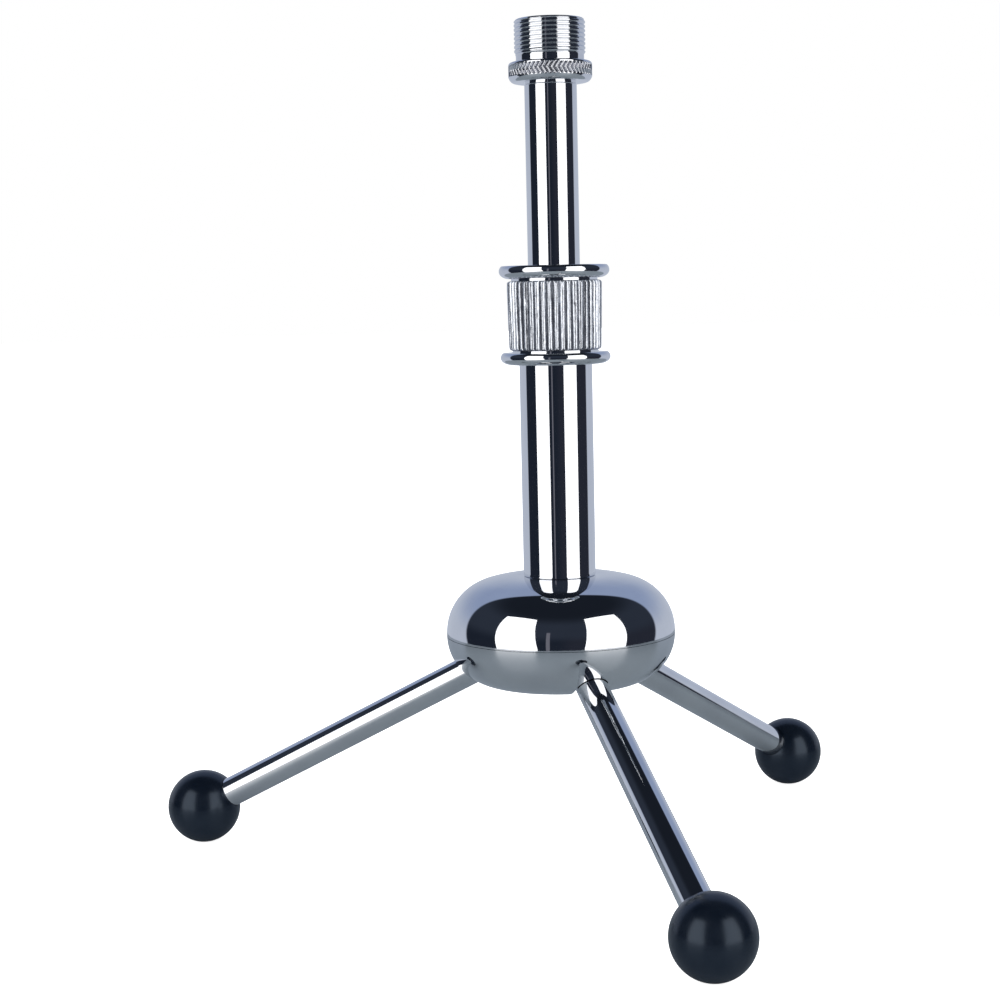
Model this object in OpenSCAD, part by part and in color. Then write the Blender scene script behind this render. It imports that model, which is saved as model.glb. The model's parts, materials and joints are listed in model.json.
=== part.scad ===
// Desktop microphone stand: a two-shell chrome base on three folding legs with ball feet,
// a column of two tubes with a twist clutch, and a screwed-on 5/8"-27 microphone thread.
// The origin is on the column's axis at table height. Leg 1 points along -Y.

/* [Base] */
// Outside radius of the base at its parting line
base_r = 26.15; // [25.5:0.05:28]
// Height of the parting line between the two shells
parting_z = 52.7; // [52.5:0.1:52.9]
// Height of the upper shell's straight skirt
skirt_h = 0.6; // [0.4:0.1:0.8]
// Radius of the upper shell's rounded rim
upper_rim_r = 12.15; // [11.8:0.05:12.5]
// Radius of the lower shell's rounded rim
lower_rim_r = 11.3; // [11.1:0.05:11.5]
// Radius of the slight crown on top of the upper shell
crown_r = 30; // [28:1:40]
// Wall thickness of the shells
shell_t = 1; // [0.8:0.1:1.2]

/* [Legs] */
// Diameter of the leg rods
leg_d = 7; // [6.6:0.1:7.2]
// Slope of an open leg below the horizontal, in degrees
leg_slope = 27.5; // [27:0.1:28]
// Distance of a leg's pivot pin from the column's axis
pivot_r = 12; // [11.8:0.1:12.2]
// Distance from the column's axis to the centre of a foot
foot_reach = 89; // [87:0.5:90]
// Diameter of the ball feet
foot_d = 17.3; // [16:0.1:18]
// How much of a ball is flattened where it stands on the table
foot_flat = 0.15; // [0.1:0.05:0.3]
// Diameter of the pivot pins
pin_d = 3; // [2.5:0.1:3.2]

/* [Column] */
// Outside diameter of the lower, fixed tube
tube_d = 16.5; // [16.4:0.1:16.8]
// Wall thickness of the lower tube
tube_wall = 1.5; // [1.4:0.1:1.6]
// Outside diameter of the sliding upper tube
mast_d = 11.7; // [11.4:0.1:11.8]
// Wall thickness of the upper tube
mast_wall = 1; // [0.8:0.1:1.1]
// Height of the top of the upper tube
mast_top_z = 176.5; // [174:0.5:178]
// Length of the upper tube
mast_l = 65.5; // [64:0.5:66]

/* [Clutch] */
// Height of the bottom of the clutch
clutch_z = 114.2; // [113:0.1:115]
// Diameter of the two rounded flanges
flange_d = 24.9; // [24:0.1:26]
// Thickness of the fixed lower flange
lower_flange_h = 2.7; // [2.6:0.1:3.2]
// Thickness of the collar's upper flange
upper_flange_h = 2.9; // [2.6:0.1:3.6]
// Diameter over the straight knurl
knurl_d = 21.2; // [20.8:0.1:22]
// Length of the straight knurl
knurl_h = 15.6; // [15.2:0.1:15.9]
// Number of teeth round the knurl
knurl_teeth = 44; // [32:1:48]

/* [Microphone thread] */
// Major diameter of the microphone thread, 5/8 inch
thread_d = 15.875; // [15.8:0.005:15.9]
// Length of the thread
thread_h = 7.8; // [7:0.1:9]
// Diameter of the smooth, slightly necked band under the thread
band_d = 15.2; // [15:0.1:15.5]
// Height of the smooth band
band_h = 1.6; // [1.2:0.1:2]
// Diameter of the knurled ring
ring_d = 18.7; // [18.2:0.1:19.5]
// Height of the knurled ring
ring_h = 4.4; // [4:0.1:5]
// Diameter of the stud under the adapter, 3/8 inch nominal
stud_d = 9.4; // [9:0.1:9.5]

/* [Fits] */
// Radial clearance of the running and sliding fits
running_gap = 0.05; // [0.03:0.01:0.08]
// Clearance between an open leg and the arch that it leaves through
arch_gap = 0.2; // [0.15:0.05:0.3]

/* [Hidden] */
$fn = 96;
EPS = 0.01;
LEGS = 3;

// Base shells: the rims are arcs, and the crown is tangent to the upper one
rim_z = parting_z + skirt_h;
upper_rim_x = base_r - upper_rim_r;
lower_rim_x = base_r - lower_rim_r;
rim_sweep = 75;
crown_x = upper_rim_x - (crown_r - upper_rim_r) * cos(rim_sweep);
crown_z = rim_z - (crown_r - upper_rim_r) * sin(rim_sweep);
base_top_z = crown_z + crown_r;
base_bottom_z = parting_z - lower_rim_r;
lip_h = 1.4;
lip_t = 0.8;
lip_foot = 1;

// Legs, measured along the rod from the pivot
foot_z = foot_d / 2 - foot_flat;
pivot_z = foot_z + (foot_reach - pivot_r) * tan(leg_slope);
leg_to_foot = (foot_reach - pivot_r) / cos(leg_slope);
leg_l = leg_to_foot + 2;
leg_chamfer = 0.6;
tongue_l = 7.6;
tongue_t = 4.4;
washer_t = 0.55;
washer_d = 6.8;
pin_l = 13;
slot_w = tongue_t + 2 * (washer_t + running_gap);
shell_slot_w = leg_d + 2 * arch_gap;
stop_gap = 0.1;
swing_gap = 0.2;
swing_r = leg_d / 2 + swing_gap;
room_inner = pivot_r - swing_r;
room_outer = base_r + 2;
room_floor_z = base_bottom_z - 5;

// Hub inside the base
hub_r = 16.5;
hub_z = base_bottom_z + shell_t;
hub_disc_z = 56;
hub_boss_r = 8.5;
hub_top_z = base_top_z - shell_t;
hub_chamfer = 2.2;

// Screw that holds the base and the column together, M5, with its head in a recess
bolt_d = 4.96;
bolt_hole_d = 5.4;
tapped_d = 5;
bolt_washer_d = 10;
bolt_washer_t = 1;
lock_washer_d = 8.4;
lock_washer_t = 1.2;
bolt_head_d = 9;
bolt_head_h = 3;
recess_d = 10.8;
recess_h = bolt_washer_t + lock_washer_t + bolt_head_h + 0.1;
recess_z = base_bottom_z + recess_h;
bolt_head_z = recess_z - bolt_washer_t - lock_washer_t - bolt_head_h;
socket_d = 3.5;
socket_depth = 2;
pocket_gap = 0.1;

// Plug at the foot of the column
plug_h = 3.5;
spigot_d = 10;
spigot_h = 8;
spigot_gap = 0.1;
bolt_top_z = base_top_z + plug_h - 0.5;

// Clutch, from the bottom up
tube_bore_d = tube_d - 2 * tube_wall;
tube_socket_h = 5;
tube_top_z = clutch_z + tube_socket_h;
neck_d = 19.5;
neck_h = 0.5;
collar_z = clutch_z + lower_flange_h + neck_h;
collar_neck_z = collar_z + knurl_h;
upper_flange_z = collar_neck_z + neck_h;
clutch_top_z = upper_flange_z + upper_flange_h;
flange_edge = 1.3;
knurl_depth = 0.55;
knurl_chamfer = 0.5;
ferrule_d = 18;
ferrule_top_z = tube_top_z + 8;
ferrule_bore_d = 12.2;
cone_z = tube_top_z + 2;
cone_h = 4;
cone_mouth_d = 15.4;
collet_gap = 0.1;
collet_h = 8.9;
collet_slit = 1.2;
thrust_z = collar_neck_z - 2.75;
thrust_h = 1.1;
thrust_d = 17.6;
shoulder_gap = 0.05;
collar_bore_z = thrust_z + thrust_h + shoulder_gap;
collar_top_bore_d = mast_d + 0.4;

// Upper tube and the bush at its foot
mast_bore_d = mast_d - 2 * mast_wall;
mast_z = mast_top_z - mast_l;
bush_collar_h = 2.5;
bush_spigot_h = 6;
bush_bore_d = 6.4;

// Stud and adapter at the top
stud_plug_h = 11.5;
adapter_washer_h = 0.4;
adapter_washer_d = 11.4;
adapter_z = mast_top_z + adapter_washer_h;
ring_bottom_bevel = 1.2;
ring_top_bevel = 0.6;
thread_chamfer = 0.4;
thread_z = adapter_z + ring_h + band_h;
adapter_top_z = thread_z + thread_h;
stud_top_z = adapter_top_z - 2;

chrome = "gainsboro";
steel = "darkgray";
zinc = "slategray";
nylon = "ivory";
rubber = "#1c2024";

// ---- Shapes that repeat ----

// A plain ring or tube about the column's axis
module ring(outer_d, inner_d, z, h) {
    translate([0, 0, z]) difference() {
        cylinder(d = outer_d, h = h);
        translate([0, 0, -EPS]) cylinder(d = inner_d, h = h + 2 * EPS);
    }
}

// Half outline of a disc with rounded edges, to be turned about the axis
module rounded_disc_outline(d, z, h, edge) {
    translate([0, z]) square([d / 2 - edge, h]);
    translate([0, z + edge]) square([d / 2, h - 2 * edge]);
    for (corner_z = [z + edge, z + h - edge]) {
        translate([d / 2 - edge, corner_z]) circle(r = edge);
    }
}

// Turns its children to the side of leg i
module toward_leg(i) {
    rotate([0, 0, (i - 1) * 360 / LEGS]) children();
}

// Puts its children at the pivot of leg i, with the open leg along their -Y
module at_pivot(i) {
    toward_leg(i) translate([0, -pivot_r, pivot_z]) rotate([leg_slope, 0, 0]) children();
}

// A slab of width w, from an outline drawn as distance from the axis and height
module leg_slab(w) {
    rotate([90, 0, -90]) linear_extrude(height = w, center = true) children();
}

// ---- Base ----

// Everything under the upper shell's skin, inset by t
module upper_skin(t) {
    far = 2 * crown_r;
    intersection() {
        translate([0, parting_z]) square(far);
        union() {
            translate([upper_rim_x, rim_z]) circle(r = upper_rim_r - t);
            translate([0, parting_z]) square([base_r - t, skirt_h]);
            square([crown_x, base_top_z - t]);
            intersection() {
                translate([crown_x, crown_z]) circle(r = crown_r - t);
                translate([crown_x, crown_z]) polygon([
                    [0, 0], [0, far], [far * cos(rim_sweep), far * sin(rim_sweep)]
                ]);
            }
        }
    }
}

// Everything over the lower shell's skin and its recess for the screw's head, inset by t
module lower_skin(t) {
    difference() {
        intersection() {
            translate([0, parting_z - base_r]) square(base_r);
            union() {
                translate([lower_rim_x, parting_z]) circle(r = lower_rim_r - t);
                translate([0, base_bottom_z + t]) square([lower_rim_x, lower_rim_r - t]);
            }
        }
        translate([0, base_bottom_z - 1]) square([recess_d / 2 + t, recess_h + 1 + t]);
    }
}

module upper_shell() {
    color(chrome) difference() {
        rotate_extrude() difference() {
            upper_skin(0);
            upper_skin(shell_t);
        }
        translate([0, 0, parting_z]) cylinder(d = spigot_d + 2 * spigot_gap, h = base_r);
    }
}

// The room that a leg sweeps below its axis, from open to straight down
module leg_room() {
    polygon([
        [room_inner, room_floor_z], [room_outer, room_floor_z],
        [room_outer, pivot_z - (room_outer - pivot_r) * tan(leg_slope)],
        [pivot_r, pivot_z], [room_inner, pivot_z]
    ]);
}

// The locating lip stands inside the upper shell
module lower_shell() {
    lip_r = base_r - shell_t - running_gap;
    color(chrome) difference() {
        rotate_extrude() {
            difference() {
                lower_skin(0);
                lower_skin(shell_t);
            }
            translate([lip_r - lip_t, parting_z - lip_foot]) square([lip_t, lip_foot + lip_h]);
            translate([lip_r - lip_t, parting_z - lip_foot]) square([lip_t + shell_t / 2, lip_foot]);
        }
        translate([0, 0, recess_z - 1]) cylinder(d = bolt_hole_d, h = shell_t + 2);
        for (i = [1:LEGS]) {
            toward_leg(i) leg_slab(shell_slot_w) leg_room();
            at_pivot(i) translate([0, -5, 0]) rotate([90, 0, 0])
                cylinder(d = leg_d + 2 * arch_gap, h = 20);
        }
    }
}

// Room for the leg and its eye; the sloping roof is the stop that an open leg rests against
module hub_slot_outline() {
    roof_rise = (leg_d / 2 + stop_gap) / cos(leg_slope);
    roof_top_x = pivot_r + (roof_rise - swing_r) / tan(leg_slope);
    polygon([
        [room_inner, room_floor_z], [room_outer, room_floor_z],
        [room_outer, pivot_z + roof_rise - (room_outer - pivot_r) * tan(leg_slope)],
        [roof_top_x, pivot_z + swing_r], [room_inner, pivot_z + swing_r]
    ]);
}

module hub() {
    color(zinc) difference() {
        rotate_extrude() polygon([
            [0, hub_z], [hub_r - hub_chamfer, hub_z], [hub_r, hub_z + hub_chamfer],
            [hub_r, hub_disc_z - 1], [hub_r - 1, hub_disc_z], [hub_boss_r + 2, hub_disc_z],
            [hub_boss_r, hub_disc_z + 2], [hub_boss_r, hub_top_z], [0, hub_top_z]
        ]);
        translate([0, 0, hub_z - 1]) cylinder(d = bolt_hole_d, h = base_r);
        translate([0, 0, hub_z - 1]) cylinder(
            d = recess_d + 2 * (shell_t + pocket_gap),
            h = recess_h + 1
        );
        translate([0, 0, base_top_z - spigot_h - spigot_gap])
            cylinder(d = spigot_d + 2 * spigot_gap, h = base_r);
        for (i = [1:LEGS]) {
            toward_leg(i) leg_slab(slot_w) hub_slot_outline();
            at_pivot(i) translate([-pin_l / 2, 0, 0]) rotate([0, 90, 0])
                cylinder(d = pin_d, h = pin_l + hub_r);
        }
    }
}

// ---- Fasteners under the base ----

module clamp_bolt() {
    shank_z = bolt_head_z + bolt_head_h;
    color(steel) difference() {
        union() {
            rotate_extrude() rounded_disc_outline(bolt_head_d, bolt_head_z, bolt_head_h, 0.5);
            translate([0, 0, shank_z - EPS]) cylinder(d = bolt_d, h = bolt_top_z - shank_z + EPS);
        }
        translate([0, 0, bolt_head_z - EPS]) cylinder(d = socket_d, h = socket_depth, $fn = 6);
    }
}

module bolt_washer() {
    color(steel) ring(bolt_washer_d, bolt_hole_d, recess_z - bolt_washer_t, bolt_washer_t);
}

// The slit leaves it one open turn
module lock_washer() {
    z = bolt_head_z + bolt_head_h;
    color(steel) difference() {
        ring(lock_washer_d, bolt_hole_d, z, lock_washer_t);
        translate([0, -0.4, z - 1]) cube([bolt_head_d, 0.8, lock_washer_t + 2]);
    }
}

// ---- Column ----

// Pressed into the tube; its spigot goes through the upper shell into the hub
module tube_plug() {
    spigot_z = base_top_z - spigot_h;
    color(steel) difference() {
        union() {
            translate([0, 0, base_top_z]) cylinder(d = tube_bore_d, h = plug_h);
            translate([0, 0, spigot_z]) cylinder(d = spigot_d, h = spigot_h + EPS);
        }
        translate([0, 0, spigot_z - 1]) cylinder(d = tapped_d, h = spigot_h + plug_h + 2);
    }
}

module outer_tube() {
    color(chrome) ring(tube_d, tube_bore_d, base_top_z, tube_top_z - base_top_z);
}

// ---- Clutch ----

// Fixed on the tube, with the lower flange and the male thread for the collar
module clutch_ferrule() {
    color(chrome) difference() {
        union() {
            rotate_extrude() rounded_disc_outline(flange_d, clutch_z, lower_flange_h, flange_edge);
            translate([0, 0, clutch_z + 1]) cylinder(d = neck_d, h = lower_flange_h + neck_h - 1);
            translate([0, 0, clutch_z + 1]) cylinder(d = ferrule_d, h = ferrule_top_z - clutch_z - 1);
        }
        translate([0, 0, clutch_z - 1]) cylinder(d = tube_d, h = tube_socket_h + 1);
        translate([0, 0, clutch_z]) cylinder(d = ferrule_bore_d, h = ferrule_top_z);
        translate([0, 0, cone_z]) cylinder(d1 = ferrule_bore_d, d2 = cone_mouth_d, h = cone_h);
        translate([0, 0, cone_z + cone_h]) cylinder(d = cone_mouth_d, h = ferrule_top_z);
    }
}

// Split bush that the collar squeezes onto the upper tube
module clutch_collet() {
    foot_d = ferrule_bore_d - 2 * collet_gap;
    body_d = cone_mouth_d - 2 * collet_gap;
    z = cone_z + collet_gap;
    color(nylon) difference() {
        rotate_extrude() polygon([
            [0, z], [foot_d / 2, z], [body_d / 2, z + cone_h], [body_d / 2, z + collet_h - 1.4],
            [body_d / 2 - 0.9, z + collet_h], [0, z + collet_h]
        ]);
        translate([0, 0, z - 1]) cylinder(d = mast_d + 2 * running_gap, h = collet_h + 2);
        translate([0, -collet_slit / 2, z - 1]) cube([body_d, collet_slit, collet_h + 2]);
    }
}

module thrust_ring() {
    color("goldenrod") ring(thrust_d, ferrule_bore_d, thrust_z, thrust_h);
}

// Outline of the straight knurl, with a tooth every 360 / knurl_teeth degrees
module knurl_outline() {
    step = 360 / knurl_teeth;
    tip_r = knurl_d / 2;
    root_r = tip_r - knurl_depth;
    polygon([
        for (k = [0:knurl_teeth - 1], p = [[-0.34, root_r], [-0.12, tip_r], [0.12, tip_r], [0.34, root_r]])
            [p[1] * cos((k + p[0]) * step), p[1] * sin((k + p[0]) * step)]
    ]);
}

module clutch_collar() {
    c = knurl_chamfer;
    color(chrome) difference() {
        union() {
            intersection() {
                translate([0, 0, collar_z]) linear_extrude(height = knurl_h) knurl_outline();
                rotate_extrude() polygon([
                    [0, collar_z], [knurl_d / 2 - c, collar_z], [knurl_d / 2, collar_z + c],
                    [knurl_d / 2, collar_neck_z - c], [knurl_d / 2 - c, collar_neck_z],
                    [0, collar_neck_z]
                ]);
            }
            translate([0, 0, collar_neck_z - 1]) cylinder(d = neck_d, h = neck_h + 2);
            rotate_extrude()
                rounded_disc_outline(flange_d, upper_flange_z, upper_flange_h, flange_edge);
        }
        translate([0, 0, collar_z - 1])
            cylinder(d = ferrule_d + 2 * running_gap, h = collar_bore_z - collar_z + 1);
        translate([0, 0, collar_z]) cylinder(d = collar_top_bore_d, h = clutch_top_z);
    }
}

// ---- Sliding mast ----

// Slides in the lower tube; the upper tube turns on its spigot
module guide_bush() {
    z = mast_z - bush_collar_h - running_gap;
    color(nylon) difference() {
        union() {
            translate([0, 0, z]) cylinder(d = tube_bore_d - 2 * running_gap, h = bush_collar_h);
            translate([0, 0, z]) cylinder(
                d = mast_bore_d - 2 * running_gap,
                h = bush_collar_h + bush_spigot_h
            );
        }
        translate([0, 0, z - 1]) cylinder(d = bush_bore_d, h = bush_collar_h + bush_spigot_h + 2);
    }
}

module inner_tube() {
    color(chrome) ring(mast_d, mast_bore_d, mast_z, mast_l);
}

// Pressed into the upper tube, with the 3/8 inch stud standing out of it
module top_stud() {
    color(steel) {
        translate([0, 0, mast_top_z - stud_plug_h]) cylinder(d = mast_bore_d, h = stud_plug_h);
        translate([0, 0, mast_top_z - EPS]) cylinder(d = stud_d, h = stud_top_z - mast_top_z);
    }
}

module adapter_washer() {
    color(chrome) ring(adapter_washer_d, stud_d + 2 * running_gap, mast_top_z, adapter_washer_h);
}

// The thread is a cylinder of its major diameter
module thread_adapter() {
    ring_top_z = adapter_z + ring_h;
    color(chrome) difference() {
        rotate_extrude() polygon([
            [0, adapter_z], [ring_d / 2 - ring_bottom_bevel, adapter_z],
            [ring_d / 2, adapter_z + ring_bottom_bevel], [ring_d / 2, ring_top_z - ring_top_bevel],
            [ring_d / 2 - ring_top_bevel, ring_top_z], [band_d / 2, ring_top_z],
            [band_d / 2, thread_z], [thread_d / 2, thread_z],
            [thread_d / 2, adapter_top_z - thread_chamfer],
            [thread_d / 2 - thread_chamfer, adapter_top_z], [0, adapter_top_z]
        ]);
        translate([0, 0, adapter_z - 1])
            cylinder(d = stud_d + 2 * running_gap, h = adapter_top_z - adapter_z + 2);
    }
}

// ---- Legs ----

// A rod with a flat eye at its inner end, drawn open
module leg(i) {
    color(chrome) at_pivot(i) difference() {
        union() {
            translate([0, -tongue_l, 0]) rotate([90, 0, 0])
                cylinder(d = leg_d, h = leg_l - leg_chamfer - tongue_l);
            translate([0, leg_chamfer - leg_l, 0]) rotate([90, 0, 0])
                cylinder(d1 = leg_d, d2 = leg_d - 2 * leg_chamfer, h = leg_chamfer);
            intersection() {
                rotate([90, 0, 0]) cylinder(d = leg_d, h = tongue_l + 1);
                translate([-tongue_t / 2, -tongue_l - 2, -leg_d])
                    cube([tongue_t, tongue_l + 2, 2 * leg_d]);
            }
            rotate([0, 90, 0]) cylinder(d = leg_d, h = tongue_t, center = true);
        }
        rotate([0, 90, 0]) cylinder(d = pin_d + 2 * running_gap, h = 2 * leg_d, center = true);
    }
}

// A rubber ball with a blind hole for the rod, slightly flattened by the table
module foot(i) {
    color(rubber) difference() {
        at_pivot(i) difference() {
            translate([0, -leg_to_foot, 0]) sphere(d = foot_d);
            translate([0, -leg_to_foot + foot_d, 0]) rotate([90, 0, 0])
                cylinder(d = leg_d, h = foot_d + leg_l - leg_to_foot);
        }
        translate([0, 0, -foot_d / 2]) cube([4 * foot_reach, 4 * foot_reach, foot_d], center = true);
    }
}

module pivot_pin(i) {
    color(steel) at_pivot(i) rotate([0, 90, 0]) cylinder(d = pin_d, h = pin_l, center = true);
}

// One on each side of the leg's eye
module friction_washers(i) {
    color(nylon) at_pivot(i) for (side = [-1, 1]) {
        translate([side * (slot_w - washer_t) / 2, 0, 0]) rotate([0, 90, 0]) difference() {
            cylinder(d = washer_d, h = washer_t, center = true);
            cylinder(d = pin_d + 2 * running_gap, h = 2 * washer_t, center = true);
        }
    }
}

lower_shell();
upper_shell();
hub();
clamp_bolt();
bolt_washer();
lock_washer();
tube_plug();
outer_tube();
clutch_ferrule();
clutch_collet();
thrust_ring();
clutch_collar();
guide_bush();
inner_tube();
top_stud();
adapter_washer();
thread_adapter();
leg(1);  // leg_1
leg(2);  // leg_2
leg(3);  // leg_3
foot(1);  // foot_1
foot(2);  // foot_2
foot(3);  // foot_3
pivot_pin(1);  // pivot_pin_1
pivot_pin(2);  // pivot_pin_2
pivot_pin(3);  // pivot_pin_3
friction_washers(1);  // friction_washers_1
friction_washers(2);  // friction_washers_2
friction_washers(3);  // friction_washers_3
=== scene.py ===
import json
import math

import bmesh
import bpy
from mathutils import Matrix, Vector, noise


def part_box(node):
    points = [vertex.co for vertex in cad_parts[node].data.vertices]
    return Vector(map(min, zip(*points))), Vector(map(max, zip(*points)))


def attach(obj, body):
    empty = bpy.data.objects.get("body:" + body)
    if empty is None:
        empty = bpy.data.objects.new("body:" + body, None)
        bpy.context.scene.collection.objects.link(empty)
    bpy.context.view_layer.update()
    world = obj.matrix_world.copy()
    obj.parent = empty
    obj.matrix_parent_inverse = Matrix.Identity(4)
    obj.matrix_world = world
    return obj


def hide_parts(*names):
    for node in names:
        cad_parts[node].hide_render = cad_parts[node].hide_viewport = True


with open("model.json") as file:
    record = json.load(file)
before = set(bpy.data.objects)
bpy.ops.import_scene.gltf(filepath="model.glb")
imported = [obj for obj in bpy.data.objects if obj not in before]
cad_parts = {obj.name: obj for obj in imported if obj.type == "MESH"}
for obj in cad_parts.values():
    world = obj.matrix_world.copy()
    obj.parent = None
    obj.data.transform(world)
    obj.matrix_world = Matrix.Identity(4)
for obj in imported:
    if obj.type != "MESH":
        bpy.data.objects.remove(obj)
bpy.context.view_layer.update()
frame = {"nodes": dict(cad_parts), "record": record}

MM = 0.001
LEGS = 3

# ---------------------------------------------------------------- how finely shapes are divided and joined
FINE_ROUND = 256
ROD_ROUND = 128
ARCH_ROUND = 96
PIN_ROUND = 64
RIB_COLUMNS = 16
RIDGE_COLUMNS = 10
KNURL_ROWS = 84
RIDGE_ROWS = 30
THREAD_ROWS = 13
SHARP_ANGLE = 35
COLLAR_SHARP_ANGLE = 50
ADAPTER_SHARP_ANGLE = 60
HAIR = 0.05 * MM
JOIN_WITHIN = 1e-7
ON_AXIS = 1e-9

# ---------------------------------------------------------------- sizes that the frame doesn't hold
UPPER_RIM_R = 12.15 * MM
LOWER_RIM_R = 11.3 * MM
SKIRT_H = 0.6 * MM
CROWN_R = 30 * MM
RIM_SWEEP = math.radians(75)
SHELL_T = 1.0 * MM
SHELL_HOLE_R = 5.1 * MM
SEAM = 0.1 * MM
LIP_GAP = 0.05 * MM
LIP_T = 0.8 * MM
LIP_H = 1.4 * MM
LIP_FOOT = 1.0 * MM
LIP_CHAMFER = (0.2 * MM, 0.3 * MM)
SLOT_PAST_RIM = 2 * MM
SLOT_PAST_BOTTOM = 5 * MM
RECESS_R = 5.4 * MM
RECESS_EDGE = 0.5 * MM
RECESS_CORNER = 0.3 * MM
BOLT_HOLE_R = 2.7 * MM
LEG_R = 3.5 * MM
LEG_SLOPE = math.radians(27.5)
ARCH_GAP = 0.2 * MM
ARCH_NEAR = 5 * MM
ARCH_FAR = 26 * MM
SWING_GAP = 0.2 * MM
TONGUE_L = 7.6 * MM
TONGUE_T = 4.4 * MM
TONGUE_IN_ROD = 0.5 * MM
PIN_TOOL_L = 10 * MM
PIN_BORE_R = 1.55 * MM
ROD_EDGE = 0.5 * MM
ROD_IN_FOOT = 2 * MM
FOOT_R = 8.647 * MM
FOOT_REACH = 89 * MM
FOOT_LIP = math.radians(2.2)
MOUTH_FLARE = 0.06 * MM
MOUTH_DEPTH = 0.25 * MM
TUBE_WALL = 1.5 * MM
MAST_WALL = 1.0 * MM
TUBE_EDGE = 0.25 * MM
FLANGE_WIDEST = 0.42
FLANGE_TOP = math.radians(60)
FLANGE_ROUND_BELOW = 2.4 * MM
FLANGE_ROUND_ABOVE = 1.15 * MM
LOWER_FLANGE_H = 2.7 * MM
UPPER_FLANGE_H = 2.9 * MM
NECK_R = 9.75 * MM
NECK_H = 0.5 * MM
FERRULE_R = 9.0 * MM
FERRULE_BORE_R = 6.1 * MM
FERRULE_CHAMFER = 0.3 * MM
CONE_MOUTH_R = 7.7 * MM
CONE_FOOT = 2.0 * MM
CONE_H = 4.0 * MM
COLLAR_BORE_R = 9.05 * MM
COLLAR_TOP_BORE_R = 6.05 * MM
COLLAR_CHAMFER = 0.2 * MM
KNURL_R = 10.6 * MM
KNURL_TAPER = 0.14 * MM
KNURL_DEPTH = 0.62 * MM
KNURL_END = 0.75 * MM
KNURL_TEETH = 44
KNURL_WANDER = 0.25
KNURL_UNEVEN = 0.08 * MM
NICK = 0.03 * MM
DENT = 0.25 * MM
DENT_FROM = 0.55
NICK_NOISE = (30, 700)
WANDER_NOISE = (8, 60, 5)
# share of the knurl's depth, from the crests, that is left out of the painted shade in the grooves
KNURL_UNSHADED_SHARE = 0.6
RING_H = 4.4 * MM
RING_BOTTOM_ROUND = 1.2 * MM
RING_TOP_ROUND = 0.6 * MM
RING_LOWER_EDGE = math.radians(-30)
BAND_H = 1.6 * MM
BAND_R = 7.6 * MM
BAND_HELD_BELOW_THREAD = (0.3 * MM, 0.25 * MM)
THREAD_R = 7.9375 * MM
THREAD_PITCH = 25.4 / 27 * MM
THREAD_DEPTH = 0.24 * MM
THREAD_CREST = 0.34
THREAD_FLANK = 0.44
LEAD_IN_ROWS = 8
ADAPTER_CHAMFER = 0.4 * MM
STUD_BORE_R = 4.75 * MM
HERRINGBONE_TEETH = 56
HERRINGBONE_DEPTH = 0.42 * MM
HERRINGBONE_LEAN = math.radians(32)
RIDGE_CREST = 0.2
RIDGE_FLANK = 0.65
RIDGE_FADE = 0.14
# share of the ridges' depth, from their tops, that is left out of the painted shade in the grooves
RIDGE_UNSHADED_SHARE = 0.55

# ---------------------------------------------------------------- outlines


def arc(cx, cz, r, start, end, steps):
    """Points on an arc, angles in radians from the outward direction."""
    angles = [start + (end - start) * k / steps for k in range(steps + 1)]
    return [(cx + r * math.cos(a), cz + r * math.sin(a)) for a in angles]


def flange_edge(r, low, high, steps=12):
    """A flange's edge from its underside to its top: a long round below, and a blunt one above."""
    widest = high - FLANGE_WIDEST * (high - low)
    below = arc(0, 0, 1, -math.pi / 2, 0, steps)
    above = arc(0, 0, 1, 0, FLANGE_TOP, steps)
    tall = (high - widest) / math.sin(FLANGE_TOP)
    out = [(r - FLANGE_ROUND_BELOW * (1 - x), widest + (widest - low) * z) for x, z in below]
    out += [(r - FLANGE_ROUND_ABOVE * (1 - x), widest + tall * z) for x, z in above[1:]]
    return out


def rounded(corners, steps=5):
    """A closed outline of (x, z, corner radius), with each corner turned into an arc."""
    out = []
    count = len(corners)
    for k, (x, z, r) in enumerate(corners):
        here = Vector((x, z))
        if r <= 0:
            out.append((x, z))
            continue
        back = (Vector(corners[k - 1][:2]) - here).normalized()
        ahead = (Vector(corners[(k + 1) % count][:2]) - here).normalized()
        half = back.angle(ahead) / 2
        middle = here + (back + ahead).normalized() * (r / math.sin(half))
        a = here + back * (r / math.tan(half)) - middle
        b = here + ahead * (r / math.tan(half)) - middle
        turn = a.angle_signed(b)
        for s in range(steps + 1):
            c, d = math.cos(-turn * s / steps), math.sin(-turn * s / steps)
            out.append((middle.x + a.x * c - a.y * d, middle.y + a.x * d + a.y * c))
    return out


def held(outline, margin=HAIR, longest=1 * MM):
    """Adds a point near each end of every long side, which keeps its smooth shading straight."""
    out = []
    for k, (r, z) in enumerate(outline):
        next_r, next_z = outline[(k + 1) % len(outline)]
        out.append((r, z))
        length = math.hypot(next_r - r, next_z - z)
        if length > longest and max(r, next_r) > ON_AXIS:
            for t in (margin / length, 1 - margin / length):
                out.append((r + (next_r - r) * t, z + (next_z - z) * t))
    return out


# ---------------------------------------------------------------- meshes


def finish_mesh(name, verts, faces, material, sharp=SHARP_ANGLE):
    """Makes an object: joins equal points, turns every face outward and shades it smooth."""
    mesh = bpy.data.meshes.new(name)
    mesh.from_pydata([tuple(v) for v in verts], [], faces)
    mesh.validate()
    shape = bmesh.new()
    shape.from_mesh(mesh)
    bmesh.ops.remove_doubles(shape, verts=shape.verts, dist=JOIN_WITHIN)
    bmesh.ops.recalc_face_normals(shape, faces=shape.faces)
    shape.to_mesh(mesh)
    shape.free()
    obj = bpy.data.objects.new(name, mesh)
    bpy.context.collection.objects.link(obj)
    mesh.materials.append(material)
    shade(obj, sharp)
    return obj


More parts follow.
